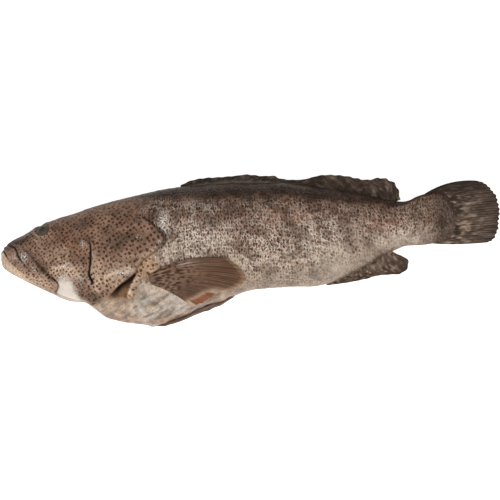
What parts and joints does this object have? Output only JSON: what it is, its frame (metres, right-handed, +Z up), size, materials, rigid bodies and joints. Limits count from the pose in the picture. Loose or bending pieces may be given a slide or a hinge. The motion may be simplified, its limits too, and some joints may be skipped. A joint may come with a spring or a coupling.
{
  "type": "whole grouper",
  "caption": "whole raw grouper lying on its right flank, brown spotted head, scaly body, rounded tail and fins laid back, to lie on a board, tray or bed of ice",
  "frame": {"origin": "on the board, under the middle of the fish's outline seen from above", "axes": "+X from the snout to the tail, +Y from the belly to the back, +Z up, out of the left flank that shows"},
  "size_m": [0.6002, 0.1712, 0.0892],
  "materials": {
    "fish_skin": "moist skin and fins with a satin sheen, small dark brown spots on the pinkish brown head, dark scales in a pale net on the body, dark back and fins, pale throat and belly",
    "eye": "wet, clouded dark grey pupil in a thin pinkish ring"
  },
  "bodies": {
    "root": {"grouper": "fish_skin", "eye_left": "eye", "eye_right": "eye"}
  },
  "joints": []
}
